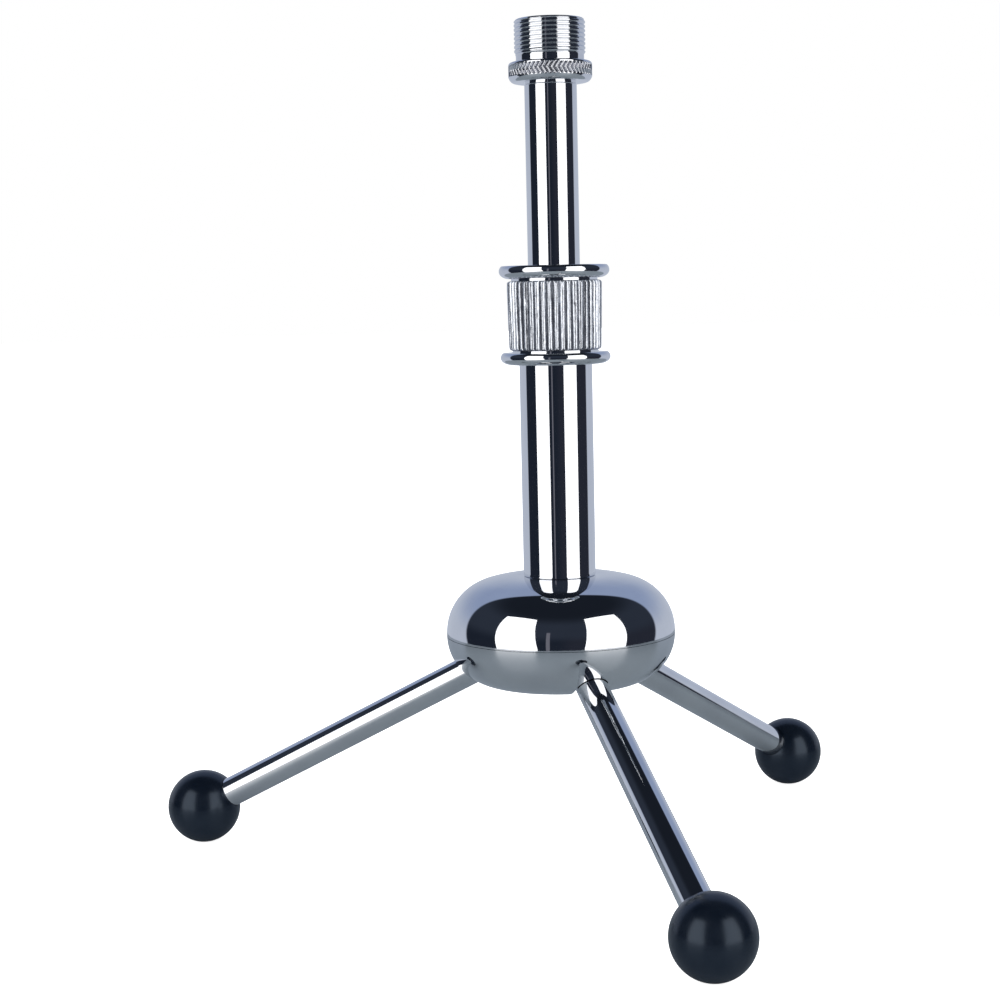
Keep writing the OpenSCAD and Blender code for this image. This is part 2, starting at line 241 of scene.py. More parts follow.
def shade(obj, sharp=SHARP_ANGLE):
    """Smooth shading, with edges that turn by more than the sharp angle left crisp."""
    obj.data.shade_smooth()
    obj.data.set_sharp_from_angle(angle=math.radians(sharp))


def lathe(name, outline, material, segments, placed=Matrix()):
    """Turns a closed outline of (radius, height) about +Z; placed moves the result."""
    verts, faces = [], []
    outline = held(outline)
    count = len(outline)
    for s in range(segments):
        a = 2 * math.pi * s / segments
        verts += [placed @ Vector((r * math.cos(a), r * math.sin(a), z)) for r, z in outline]
    for s in range(segments):
        t = (s + 1) % segments
        for k in range(count):
            n = (k + 1) % count
            if outline[k][0] < ON_AXIS and outline[n][0] < ON_AXIS:
                continue
            faces.append((s * count + k, t * count + k, t * count + n, s * count + n))
    return finish_mesh(name, verts, faces, material)


def ring_row(radius_at, z, wide):
    """One row of points round the axis; radius_at takes an angle."""
    angles = [2 * math.pi * k / wide for k in range(wide)]
    return [Vector((radius_at(a) * math.cos(a), radius_at(a) * math.sin(a), z)) for a in angles]


def surface(name, rows, material, sharp):
    """Rows of points round the axis, joined row to row, and the last row to the first."""
    verts, faces = [], []
    wide, tall = len(rows[0]), len(rows)
    for row in rows:
        verts.extend(row)
    for j in range(tall):
        n = (j + 1) % tall
        for i in range(wide):
            m = (i + 1) % wide
            faces.append((j * wide + i, j * wide + m, n * wide + m, n * wide + i))
    return finish_mesh(name, verts, faces, material, sharp)


def slab(name, outline, width, material, placed):
    """A slab of that width, from an outline drawn as distance from the axis and height."""
    count = len(outline)
    verts = [placed @ Vector((side * width / 2, -r, z)) for side in (-1, 1) for r, z in outline]
    faces = [tuple(range(count)), tuple(range(2 * count - 1, count - 1, -1))]
    for k in range(count):
        n = (k + 1) % count
        faces.append((k, n, count + n, count + k))
    return finish_mesh(name, verts, faces, material)


def boolean(obj, tool, operation="DIFFERENCE"):
    """Cuts the tool from the object, or joins it on, and removes the tool."""
    modifier = obj.modifiers.new("cut", "BOOLEAN")
    modifier.operation = operation
    modifier.solver = "EXACT"
    modifier.object = tool
    graph = bpy.context.evaluated_depsgraph_get()
    made = bpy.data.meshes.new_from_object(obj.evaluated_get(graph), depsgraph=graph)
    obj.modifiers.clear()
    old = obj.data
    obj.data = made
    bpy.data.meshes.remove(old)
    made.name = obj.name
    bpy.data.objects.remove(tool)
    shade(obj)


# ---------------------------------------------------------------- materials


def new_material(name):
    """A material of one Principled shader, to which the caller adds the detail."""
    material = bpy.data.materials.new(name)
    material.use_nodes = True
    tree = material.node_tree
    tree.nodes.clear()
    out = tree.nodes.new("ShaderNodeOutputMaterial")
    shader = tree.nodes.new("ShaderNodeBsdfPrincipled")
    tree.links.new(shader.outputs["BSDF"], out.inputs["Surface"])
    return material, tree, shader


def coordinates(tree, scale=(1, 1, 1)):
    """The object's own coordinates in millimetres, stretched by scale."""
    source = tree.nodes.new("ShaderNodeTexCoord")
    mapping = tree.nodes.new("ShaderNodeMapping")
    mapping.inputs["Scale"].default_value = [1000 * s for s in scale]
    tree.links.new(source.outputs["Object"], mapping.inputs["Vector"])
    return mapping.outputs["Vector"]


def noise_value(tree, where, scale, detail=3, rough=0.55):
    """Noise from 0 to 1; scale counts its waves in a millimetre."""
    texture = tree.nodes.new("ShaderNodeTexNoise")
    texture.inputs["Scale"].default_value = scale
    texture.inputs["Detail"].default_value = detail
    texture.inputs["Roughness"].default_value = rough
    tree.links.new(where, texture.inputs["Vector"])
    return texture.outputs["Fac"]


def remap(tree, value, from_low, from_high, to_low=0, to_high=1):
    """Stretches the first range over the second, and clamps what is past it."""
    node = tree.nodes.new("ShaderNodeMapRange")
    node.inputs["From Min"].default_value = from_low
    node.inputs["From Max"].default_value = from_high
    node.inputs["To Min"].default_value = to_low
    node.inputs["To Max"].default_value = to_high
    tree.links.new(value, node.inputs["Value"])
    return node.outputs["Result"]


def mix_colour(tree, share, first, second):
    """The first colour where the share is 0, and the second where it is 1."""
    mixer = tree.nodes.new("ShaderNodeValToRGB")
    mixer.color_ramp.elements[0].color = (*first, 1)
    mixer.color_ramp.elements[1].color = (*second, 1)
    tree.links.new(share, mixer.inputs["Fac"])
    return mixer.outputs["Color"]


def bump(tree, shader, height, strength, distance, after=None):
    """Relief for the shader; after is an earlier bump that this one adds to."""
    relief = tree.nodes.new("ShaderNodeBump")
    relief.inputs["Strength"].default_value = strength
    relief.inputs["Distance"].default_value = distance
    tree.links.new(height, relief.inputs["Height"])
    if after is not None:
        tree.links.new(after, relief.inputs["Normal"])
    tree.links.new(relief.outputs["Normal"], shader.inputs["Normal"])
    return relief.outputs["Normal"]


def chrome(name, rough=(0.02, 0.05), bright=(0.84, 0.85, 0.87), dull=(0.77, 0.78, 0.81), stretch=(1, 1, 1)):
    """Bright chrome plate: faint clouding in its gloss, and fine polishing marks."""
    material, tree, shader = new_material(name)
    shader.inputs["Metallic"].default_value = 1.0
    where = coordinates(tree, stretch)
    cloud = noise_value(tree, where, scale=0.11, detail=4)
    fine = noise_value(tree, where, scale=2.2, detail=2)
    colour = mix_colour(tree, remap(tree, cloud, 0.35, 0.7), bright, dull)
    tree.links.new(colour, shader.inputs["Base Color"])
    tree.links.new(remap(tree, cloud, 0.3, 0.75, *rough), shader.inputs["Roughness"])
    bump(tree, shader, fine, strength=0.02, distance=0.02 * MM)
    return material


def knurled_chrome(name, rough, bright, dull, marks=0.12):
    """Plating over a rolled knurl: grain in its colour, and drag marks along the teeth."""
    material, tree, shader = new_material(name)
    shader.inputs["Metallic"].default_value = 1.0
    grain = noise_value(tree, coordinates(tree), scale=2.4, detail=4, rough=0.7)
    drag = noise_value(tree, coordinates(tree, (1, 1, 0.12)), scale=4.0, detail=3, rough=0.6)
    colour = mix_colour(tree, remap(tree, grain, 0.4, 0.72), bright, dull)
    tree.links.new(colour, shader.inputs["Base Color"])
    tree.links.new(remap(tree, drag, 0.3, 0.7, *rough), shader.inputs["Roughness"])
    first = bump(tree, shader, drag, marks, distance=0.06 * MM)
    bump(tree, shader, grain, marks, distance=0.05 * MM, after=first)
    return material


def rubber(name):
    """Satin moulded rubber, with a fine grain and slightly scuffed patches."""
    material, tree, shader = new_material(name)
    where = coordinates(tree)
    grain = noise_value(tree, where, scale=5.0, detail=4, rough=0.7)
    patch = noise_value(tree, where, scale=0.22, detail=3)
    worn = remap(tree, patch, 0.35, 0.7)
    colour = mix_colour(tree, worn, (0.002, 0.0042, 0.009), (0.004, 0.0065, 0.012))
    tree.links.new(colour, shader.inputs["Base Color"])
    tree.links.new(remap(tree, patch, 0.3, 0.7, 0.21, 0.27), shader.inputs["Roughness"])
    shader.inputs["IOR"].default_value = 1.5
    shader.inputs["Specular Tint"].default_value = (0.78, 0.94, 1.15, 1)
    bump(tree, shader, grain, strength=0.12, distance=0.03 * MM)
    return material


def plain_metal(name, bright, dark, rough, grain_scale, relief):
    """Zinc plate, cast zinc or brass: cloudy colour over a fine grain."""
    material, tree, shader = new_material(name)
    shader.inputs["Metallic"].default_value = 1.0
    where = coordinates(tree)
    cloud = noise_value(tree, where, scale=0.5, detail=4)
    grain = noise_value(tree, where, grain_scale, detail=3, rough=0.65)
    colour = mix_colour(tree, remap(tree, cloud, 0.3, 0.7), bright, dark)
    tree.links.new(colour, shader.inputs["Base Color"])
    tree.links.new(remap(tree, grain, 0.3, 0.7, *rough), shader.inputs["Roughness"])
    bump(tree, shader, grain, relief, distance=0.05 * MM)
    return material


def nylon_material(name):
    """Natural nylon: milky, slightly uneven and satin."""
    material, tree, shader = new_material(name)
    where = coordinates(tree)
    cloud = noise_value(tree, where, scale=0.4, detail=3)
    grain = noise_value(tree, where, scale=4.0, detail=2)
    colour = mix_colour(tree, cloud, (0.72, 0.70, 0.62), (0.80, 0.79, 0.73))
    tree.links.new(colour, shader.inputs["Base Color"])
    tree.links.new(remap(tree, grain, 0.3, 0.7, 0.38, 0.5), shader.inputs["Roughness"])
    bump(tree, shader, grain, strength=0.08, distance=0.03 * MM)
    return material


SHELL_CHROME = chrome("shell_chrome")
TUBE_CHROME = chrome("tube_chrome", stretch=(1, 1, 0.25))
LEG_CHROME = chrome("leg_chrome")
CLUTCH_CHROME = chrome("clutch_chrome", rough=(0.03, 0.07))
THREAD_CHROME = chrome("thread_chrome", rough=(0.04, 0.09), dull=(0.74, 0.75, 0.78))
KNURL_CHROME = knurled_chrome(
    "knurl_chrome", rough=(0.2, 0.32), bright=(0.88, 0.90, 0.94), dull=(0.62, 0.66, 0.73),
)
# a far darker copy of the knurl's plating for the groove faces: painted shade in the grooves
KNURL_GROOVE_PAINTED_SHADE = knurled_chrome(
    "knurl_groove_painted_shade", rough=(0.3, 0.4), bright=(0.36, 0.38, 0.43), dull=(0.24, 0.26, 0.30),
)
RING_CHROME = knurled_chrome(
    "ring_chrome", rough=(0.04, 0.08), bright=(0.88, 0.89, 0.92), dull=(0.74, 0.75, 0.79), marks=0.05,
)
# a far darker copy of the ring's plating for the groove faces: painted shade between the ridges
RING_GROOVE_PAINTED_SHADE = knurled_chrome(
    "ring_groove_painted_shade", rough=(0.12, 0.2), bright=(0.30, 0.31, 0.35), dull=(0.20, 0.21, 0.25), marks=0.05,
)
RUBBER = rubber("foot_rubber")
STEEL = plain_metal(
    "zinc_plate", bright=(0.62, 0.63, 0.66), dark=(0.48, 0.50, 0.53), rough=(0.22, 0.34),
    grain_scale=3.0, relief=0.1,
)
ZINC = plain_metal(
    "cast_zinc", bright=(0.34, 0.35, 0.37), dark=(0.24, 0.25, 0.27), rough=(0.42, 0.58),
    grain_scale=1.6, relief=0.35,
)
BRASS = plain_metal(
    "turned_brass", bright=(0.70, 0.52, 0.24), dark=(0.58, 0.42, 0.18), rough=(0.2, 0.3),
    grain_scale=3.0, relief=0.1,
)
NYLON = nylon_material("nylon")

SLOT_MATERIALS = {
    "chrome_base": SHELL_CHROME, "chrome_tube": TUBE_CHROME, "chrome_clutch": CLUTCH_CHROME,
    "chrome_thread": THREAD_CHROME, "chrome_leg": LEG_CHROME, "steel": STEEL, "zinc": ZINC,
    "brass": BRASS, "nylon": NYLON, "rubber": RUBBER,
}
NODE_SLOT = {s["node"]: s["material_slot"] for s in frame["record"]["subparts"]}
NODE_BODY = {n: body for body, members in frame["record"]["behaviour"]["bodies"].items() for n in members}

for node_name, node_object in frame["nodes"].items():
    node_object.data.materials.clear()
    node_object.data.materials.append(SLOT_MATERIALS[NODE_SLOT[node_name]])


def stands_for(piece, node):
    """The piece replaces a CAD node, on that node's body."""
    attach(piece, NODE_BODY[node])
    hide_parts(node)


# ---------------------------------------------------------------- base shells

top_low, top_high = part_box("upper_shell")
BASE_R = top_high.x
PARTING_Z = top_low.z
RIM_Z = PARTING_Z + SKIRT_H
BASE_TOP_Z = top_high.z
BASE_BOTTOM_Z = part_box("lower_shell")[0].z
UPPER_RIM_X = BASE_R - UPPER_RIM_R
LOWER_RIM_X = BASE_R - LOWER_RIM_R
CROWN_X = UPPER_RIM_X - (CROWN_R - UPPER_RIM_R) * math.cos(RIM_SWEEP)
CROWN_Z = RIM_Z - (CROWN_R - UPPER_RIM_R) * math.sin(RIM_SWEEP)
leg_1_joint = next(j for j in frame["record"]["behaviour"]["joints"] if j["name"] == "leg_1_fold")
PIVOT_R = -leg_1_joint["pos_m"][1]
PIVOT_Z = leg_1_joint["pos_m"][2]
ROD_AXIS = Matrix.Rotation(math.pi / 2, 4, "X")


def toward_leg(i):
    """Turns what is drawn for leg 1 round the axis to leg i."""
    return Matrix.Rotation(2 * math.pi * (i - 1) / LEGS, 4, "Z")


def at_pivot(i):
    """The leg's own frame: its pivot at the origin, and the open leg along -Y."""
    return toward_leg(i) @ Matrix.Translation((0, -PIVOT_R, PIVOT_Z)) @ Matrix.Rotation(LEG_SLOPE, 4, "X")


def upper_skin(t, steps):
    """From the parting line up and in to where the crown runs level."""
    rim = arc(UPPER_RIM_X, RIM_Z, UPPER_RIM_R - t, 0, RIM_SWEEP, steps)
    crown = arc(CROWN_X, CROWN_Z, CROWN_R - t, RIM_SWEEP, math.pi / 2, steps=10)
    return rim + crown[1:]


def make_upper_shell():
    """The upper shell, held off the lower one by the width of the seam."""
    hole = [(SHELL_HOLE_R, BASE_TOP_Z), (SHELL_HOLE_R, BASE_TOP_Z - SHELL_T)]
    inside = list(reversed(upper_skin(SHELL_T, steps=24))) + [(BASE_R - SHELL_T, PARTING_Z + SEAM)]
    outline = [(BASE_R, PARTING_Z + SEAM)] + upper_skin(0, steps=48) + hole + inside
    stands_for(lathe("upper_shell_cover", outline, SHELL_CHROME, FINE_ROUND), "upper_shell")


def leg_room_outline():
    """The slot that a leg folds through, seen from the side: it starts and ends outside the shell."""
    inner = PIVOT_R - LEG_R - SWING_GAP
    outer = BASE_R + SLOT_PAST_RIM
    floor_z = BASE_BOTTOM_Z - SLOT_PAST_BOTTOM
    return [
        (inner, floor_z), (outer, floor_z), (outer, PIVOT_Z - (outer - PIVOT_R) * math.tan(LEG_SLOPE)),
        (PIVOT_R, PIVOT_Z), (inner, PIVOT_Z),
    ]


def make_lower_shell():
    """The lower shell, with an arch and a slot for each leg."""
    recess_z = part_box("bolt_washer")[1].z
    inner_r = LOWER_RIM_R - SHELL_T
    lip_r = BASE_R - SHELL_T - LIP_GAP
    outside = arc(LOWER_RIM_X, PARTING_Z, LOWER_RIM_R, 0, -math.pi / 2, steps=48)
    recess = rounded([
        (RECESS_R, BASE_BOTTOM_Z, RECESS_EDGE), (RECESS_R, recess_z, RECESS_CORNER),
        (BOLT_HOLE_R, recess_z, 0), (BOLT_HOLE_R, recess_z + SHELL_T, 0),
        (RECESS_R + SHELL_T, recess_z + SHELL_T, RECESS_CORNER),
        (RECESS_R + SHELL_T, BASE_BOTTOM_Z + SHELL_T, 0),
    ])
    lip_angle = math.asin(LIP_FOOT / inner_r)
    inside = arc(LOWER_RIM_X, PARTING_Z, inner_r, -math.pi / 2, -lip_angle, steps=24)
    lip = [
        (lip_r - LIP_T, PARTING_Z - LIP_FOOT), (lip_r - LIP_T, PARTING_Z + LIP_H),
        (lip_r - LIP_CHAMFER[0], PARTING_Z + LIP_H), (lip_r, PARTING_Z + LIP_H - LIP_CHAMFER[1]),
        (lip_r, PARTING_Z),
    ]
    shell = lathe("lower_shell_cover", outside + recess + inside[:-1] + lip, SHELL_CHROME, FINE_ROUND)
    r = LEG_R + ARCH_GAP
    rod_room = [(0, ARCH_NEAR), (r, ARCH_NEAR), (r, ARCH_FAR), (0, ARCH_FAR)]
    for i in range(1, LEGS + 1):
        boolean(shell, slab("slot_tool", leg_room_outline(), 2 * r, SHELL_CHROME, toward_leg(i)))
        boolean(shell, lathe("arch_tool", rod_room, SHELL_CHROME, ARCH_ROUND, at_pivot(i) @ ROD_AXIS))
    stands_for(shell, "lower_shell")


make_upper_shell()
make_lower_shell()

# ---------------------------------------------------------------- column


def make_tube(name, node, wall):
    """A tube with broken edges, as tall and as wide as its node."""
    low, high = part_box(node)
    r = high.x
    outline = rounded([
        (r - wall, low.z, 0), (r, low.z, TUBE_EDGE), (r, high.z, TUBE_EDGE), (r - wall, high.z, TUBE_EDGE),
    ])
    stands_for(lathe(name, outline, TUBE_CHROME, FINE_ROUND), node)


make_tube("lower_tube", "outer_tube", TUBE_WALL)
make_tube("upper_tube", "inner_tube", MAST_WALL)

# ---------------------------------------------------------------- clutch


def make_ferrule():
    """The lower flange, the neck, and the sleeve with its cone, which the collar hides."""
    low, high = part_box("clutch_ferrule")
    flange_z = low.z + LOWER_FLANGE_H
    neck_z = flange_z + NECK_H
    tube_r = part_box("outer_tube")[1].x
    tube_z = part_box("outer_tube")[1].z
    outline = [(tube_r, low.z)] + flange_edge(high.x, low.z, flange_z)
    outline += [(NECK_R, flange_z), (NECK_R, neck_z), (FERRULE_R, neck_z)]
    outline += [(FERRULE_R, high.z - FERRULE_CHAMFER), (FERRULE_R - FERRULE_CHAMFER, high.z)]
    outline += [(CONE_MOUTH_R, high.z)]
    outline += [(CONE_MOUTH_R, tube_z + CONE_FOOT + CONE_H), (FERRULE_BORE_R, tube_z + CONE_FOOT)]
    outline += [(FERRULE_BORE_R, tube_z), (tube_r, tube_z)]
    stands_for(lathe("clutch_base", outline, CLUTCH_CHROME, FINE_ROUND), "clutch_ferrule")


def noise_round(a, z, around, along, shift=0.0):
    """Noise on a cylinder: around and along say how fast it changes, and shift picks another pattern."""
    return noise.noise(Vector((math.cos(a) * around, math.sin(a) * around, z * along + shift)))


def make_collar():
    """The collar with its rounded ribs and its upper flange, in one surface."""
    low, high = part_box("clutch_collar")
    wide = KNURL_TEETH * RIB_COLUMNS
    flange_z = high.z - UPPER_FLANGE_H
    knurl_top = flange_z - NECK_H
    bore_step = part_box("thrust_ring")[1].z + HAIR
    rows = []

    def plain(r, z):
        rows.append(ring_row(lambda a: r, z, wide))

    def ribbed(z):
        """Round ribs between sharp grooves, pulled in at both ends and never quite even."""
        along = (z - low.z) / (knurl_top - low.z)
        from_end = min(z - low.z, knurl_top - z)
        inset = 0.0
        if from_end < KNURL_END:
            inset = KNURL_END * (1 - math.sqrt(1 - (1 - from_end / KNURL_END) ** 2))
        crest = KNURL_R + KNURL_TAPER * (2 * along - 1)

        def radius_at(a):
            nick = noise_round(a, z, *NICK_NOISE)
            wander = noise_round(a, z, *WANDER_NOISE)
            groove = 1 - abs(math.cos(a * KNURL_TEETH / 2 + wander * KNURL_WANDER))
            dent = NICK * nick + DENT * max(0.0, nick - DENT_FROM)
            return min(crest - (KNURL_DEPTH + KNURL_UNEVEN * wander) * groove - dent, crest - inset)

        rows.append(ring_row(radius_at, z, wide))

    plain(COLLAR_BORE_R, low.z)
    plain(KNURL_R - KNURL_TAPER - KNURL_END, low.z)
    for s in range(1, KNURL_ROWS):
        eased = (1 - math.cos(math.pi * s / KNURL_ROWS)) / 2
        share = 0.5 * eased + 0.5 * s / KNURL_ROWS
        ribbed(low.z + (knurl_top - low.z) * share)
    plain(KNURL_R + KNURL_TAPER - KNURL_END, knurl_top)
    plain(NECK_R, knurl_top)
    plain(NECK_R, flange_z)
    for r, z in flange_edge(high.x, flange_z, high.z):
        plain(r, z)
    plain(COLLAR_TOP_BORE_R + COLLAR_CHAMFER, high.z)
    plain(COLLAR_TOP_BORE_R, high.z - COLLAR_CHAMFER)
    plain(COLLAR_TOP_BORE_R, bore_step)
    plain(COLLAR_BORE_R, bore_step)
    collar = surface("knurled_collar", rows, CLUTCH_CHROME, COLLAR_SHARP_ANGLE)
    # faces near the rib tops get the knurl chrome; deeper faces get the darker copy, which is painted shade
    # in the grooves
    collar.data.materials.append(KNURL_CHROME)
    collar.data.materials.append(KNURL_GROOVE_PAINTED_SHADE)
    for f in collar.data.polygons:
        r = math.hypot(f.center.x, f.center.y)
        if r > NECK_R + HAIR and f.center.z < knurl_top:
            f.material_index = 1 if r > KNURL_R - KNURL_UNSHADED_SHARE * KNURL_DEPTH else 2
    stands_for(collar, "clutch_collar")


make_ferrule()
make_collar()

# ---------------------------------------------------------------- thread adapter


def thread_radius(turn):
    """Radius of the microphone thread at a height counted in turns: worn flats between the flanks."""
    x = abs((turn % 1.0) - 0.5) * 2
    flank = min(max((x - THREAD_CREST) / THREAD_FLANK, 0.0), 1.0)
    return THREAD_R - THREAD_DEPTH * flank


def make_adapter():
    """The herringbone ring, the smooth band and the 5/8 inch thread, in one surface."""
    low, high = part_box("thread_adapter")
    ring_r = high.x
    ring_top = low.z + RING_H
    thread_z = ring_top + BAND_H
    wide = HERRINGBONE_TEETH * RIDGE_COLUMNS
    rows = []

    def plain(r, z):
        rows.append(ring_row(lambda a: r, z, wide))

    knurl_low = low.z + RING_BOTTOM_ROUND
    knurl_high = ring_top - RING_TOP_ROUND
    sideways = math.tan(HERRINGBONE_LEAN) * (knurl_high - knurl_low) / 2
    lean = sideways / ring_r * HERRINGBONE_TEETH / (2 * math.pi)

    def herringbone(z):
        """Ridges that meet in points half way up, cut off by a small land at top and bottom."""
        height = 2 * (z - knurl_low) / (knurl_high - knurl_low) - 1
        depth = HERRINGBONE_DEPTH * min(1.0, (1 - abs(height)) / RIDGE_FADE)

        def radius_at(a):
            x = abs((a / (2 * math.pi) * HERRINGBONE_TEETH - abs(height) * lean) % 1.0 - 0.5) * 2
            drop = min(max((x - RIDGE_CREST) / RIDGE_FLANK, 0.0), 1.0)
            return ring_r - depth * drop * drop * (3 - 2 * drop)

        rows.append(ring_row(radius_at, z, wide))

    plain(STUD_BORE_R, low.z)
    for x, z in arc(0, 0, 1, -math.pi / 2, RING_LOWER_EDGE, steps=10):
        inward = 1 - x / math.cos(RING_LOWER_EDGE)
        down = (z - math.sin(RING_LOWER_EDGE)) / (-1 - math.sin(RING_LOWER_EDGE))
        plain(ring_r - RING_BOTTOM_ROUND * inward, knurl_low - RING_BOTTOM_ROUND * down)
    for s in range(1, RIDGE_ROWS):
        herringbone(knurl_low + (knurl_high - knurl_low) * s / RIDGE_ROWS)
    for r, z in arc(ring_r - RING_TOP_ROUND, knurl_high, RING_TOP_ROUND, 0, math.pi / 2, steps=6):
        plain(r, z)
    plain(BAND_R, ring_top)
    plain(BAND_R, ring_top + HAIR)
    for below in BAND_HELD_BELOW_THREAD:
        plain(BAND_R, thread_z - below)
    steps = int((high.z - thread_z) / THREAD_PITCH * THREAD_ROWS)
    for s in range(steps + 1):
        z = thread_z + (high.z - thread_z) * s / steps
        lead_in = min(1.0, (s + 1) / LEAD_IN_ROWS)
        top_cut = max(0.0, z - (high.z - ADAPTER_CHAMFER))

        def thread_at(a):
            full = thread_radius((z - thread_z) / THREAD_PITCH - a / (2 * math.pi))
            return min(BAND_R + (full - BAND_R) * lead_in, THREAD_R - top_cut)

        rows.append(ring_row(thread_at, z, wide))
    plain(STUD_BORE_R + ADAPTER_CHAMFER, high.z)
    plain(STUD_BORE_R, high.z - ADAPTER_CHAMFER)
    adapter = surface("mic_thread_adapter", rows, THREAD_CHROME, ADAPTER_SHARP_ANGLE)
    # faces near the ridge tops get the ring chrome; deeper faces get the darker copy, which is painted
    # shade between the ridges
    adapter.data.materials.append(RING_CHROME)
    adapter.data.materials.append(RING_GROOVE_PAINTED_SHADE)
    for f in adapter.data.polygons:
        r = math.hypot(f.center.x, f.center.y)
        if knurl_low < f.center.z < knurl_high and r > BAND_R:
            f.material_index = 1 if r > ring_r - RIDGE_UNSHADED_SHARE * HERRINGBONE_DEPTH else 2
    stands_for(adapter, "thread_adapter")


make_adapter()

# ---------------------------------------------------------------- legs and feet

LEG_TO_FOOT = (FOOT_REACH - PIVOT_R) / math.cos(LEG_SLOPE)
LEG_L = LEG_TO_FOOT + ROD_IN_FOOT


def make_leg(i):
    """A rod with a flat eye at its inner end."""
    outline = rounded([
        (0, TONGUE_L, 0), (LEG_R, TONGUE_L, ROD_EDGE / 2), (LEG_R, LEG_L, ROD_EDGE), (0, LEG_L, 0),
    ])
    rod = lathe(f"leg_{i}_rod", outline, LEG_CHROME, ROD_ROUND, at_pivot(i) @ ROD_AXIS)
    flat = math.sqrt(LEG_R ** 2 - (TONGUE_T / 2) ** 2)
    sides = arc(0, 0, LEG_R, math.pi / 2, 1.5 * math.pi, steps=24)
    sides += [(TONGUE_L + TONGUE_IN_ROD, -flat), (TONGUE_L + TONGUE_IN_ROD, flat)]
    eye = slab(f"leg_{i}_eye", sides, TONGUE_T, LEG_CHROME, at_pivot(i))
    half = PIN_TOOL_L / 2
    bore = [(0, -half), (PIN_BORE_R, -half), (PIN_BORE_R, half), (0, half)]
    across = at_pivot(i) @ Matrix.Rotation(math.pi / 2, 4, "Y")
    boolean(eye, lathe("pin_tool", bore, LEG_CHROME, PIN_ROUND, across))
    boolean(rod, eye, "UNION")
    stands_for(rod, f"leg_{i}")


def make_foot(i):
    """A ball with a blind hole, its mouth slightly rounded, pressed flat where it stands."""
    mouth = math.asin(LEG_R / FOOT_R)
    outline = arc(0, LEG_TO_FOOT, FOOT_R, -math.pi / 2 + mouth + FOOT_LIP, math.pi / 2, steps=72)
    outline[-1] = (0, LEG_TO_FOOT + FOOT_R)
    near_z = LEG_TO_FOOT - FOOT_R * math.cos(mouth)
    outline += [(0, LEG_L), (LEG_R, LEG_L)]
    outline += [(LEG_R, near_z + MOUTH_DEPTH), (LEG_R + MOUTH_FLARE, near_z + HAIR)]
    ball = lathe(f"foot_{i}_ball", outline, RUBBER, ROD_ROUND, at_pivot(i) @ ROD_AXIS)
    for v in ball.data.vertices:
        v.co.z = max(v.co.z, 0.0)
    stands_for(ball, f"foot_{i}")


for leg_number in range(1, LEGS + 1):
    make_leg(leg_number)
    make_foot(leg_number)

# ---------------------------------------------------------------- camera

VIEW_AZIMUTH = math.radians(18.18)
VIEW_DISTANCE = 449.89 * MM
VIEW_HEIGHT = 130.68 * MM
VIEW_TURN = math.radians(-1.694)
VIEW_PITCH = math.radians(5.985)
VIEW_ROLL = math.radians(-1.266)
LENS = 71.4
TO_CAMERA = Vector((-math.sin(VIEW_AZIMUTH), -math.cos(VIEW_AZIMUTH), 0))
TO_SIDE = Vector((math.cos(VIEW_AZIMUTH), -math.sin(VIEW_AZIMUTH), 0))


def make_camera():
    """The camera looks level toward the column, then turned, pitched down and rolled a little."""
    heading = VIEW_AZIMUTH + VIEW_TURN
    level = math.cos(VIEW_PITCH)
    forward = Vector((math.sin(heading) * level, math.cos(heading) * level, -math.sin(VIEW_PITCH)))
    right = forward.cross(Vector((0, 0, 1))).normalized()
    up = right.cross(forward)
    c, s = math.cos(VIEW_ROLL), math.sin(VIEW_ROLL)
    right, up = c * right + s * up, c * up - s * right
    data = bpy.data.cameras.new("camera")
    data.lens = LENS
    data.sensor_width = 36
    data.clip_start, data.clip_end = 0.01, 50
    cam = bpy.data.objects.new("camera", data)
    bpy.context.collection.objects.link(cam)
    turn = Matrix((right, up, -forward)).transposed().to_4x4()
    cam.matrix_world = Matrix.Translation(TO_CAMERA * VIEW_DISTANCE + Vector((0, 0, VIEW_HEIGHT))) @ turn
    bpy.context.scene.camera = cam


make_camera()

# ---------------------------------------------------------------- studio

BACKDROP_LOW = (0.50, 0.545, 0.64)
BACKDROP_HIGH = (0.28, 0.345, 0.51)
ROOM_LEFT = (0.0125, 0.0170, 0.028)
ROOM_RIGHT = (0.020, 0.023, 0.035)
ROOM_WALL = (0.025, 0.032, 0.048)
ROOM_CEILING = (0.010, 0.013, 0.020)
STRIP = (0.15, 0.15, 0.18)
STRIP_LEFT = -15.2
STRIP_RIGHT = -10.8
STRIP_SOFTNESS = 0.01
STRIP_FOOT = (-0.34, -0.3)
STRIP_HEAD = (-0.45, -0.4)
BACKDROP_TILT = 0.2
BACKDROP_EDGE = (0.3, 0.36)
BACKDROP_FADE = (0.0, 0.6)
ROOM_FADE = (-0.1, 0.25)
WALL_FADE = (0.05, 0.35)
CEILING_FADE = (0.62, 0.88)


def at_azimuth(degrees):
    """A level direction, measured from the camera's towards its right."""
    a = math.radians(degrees)
    return TO_CAMERA * math.cos(a) + TO_SIDE * math.sin(a)


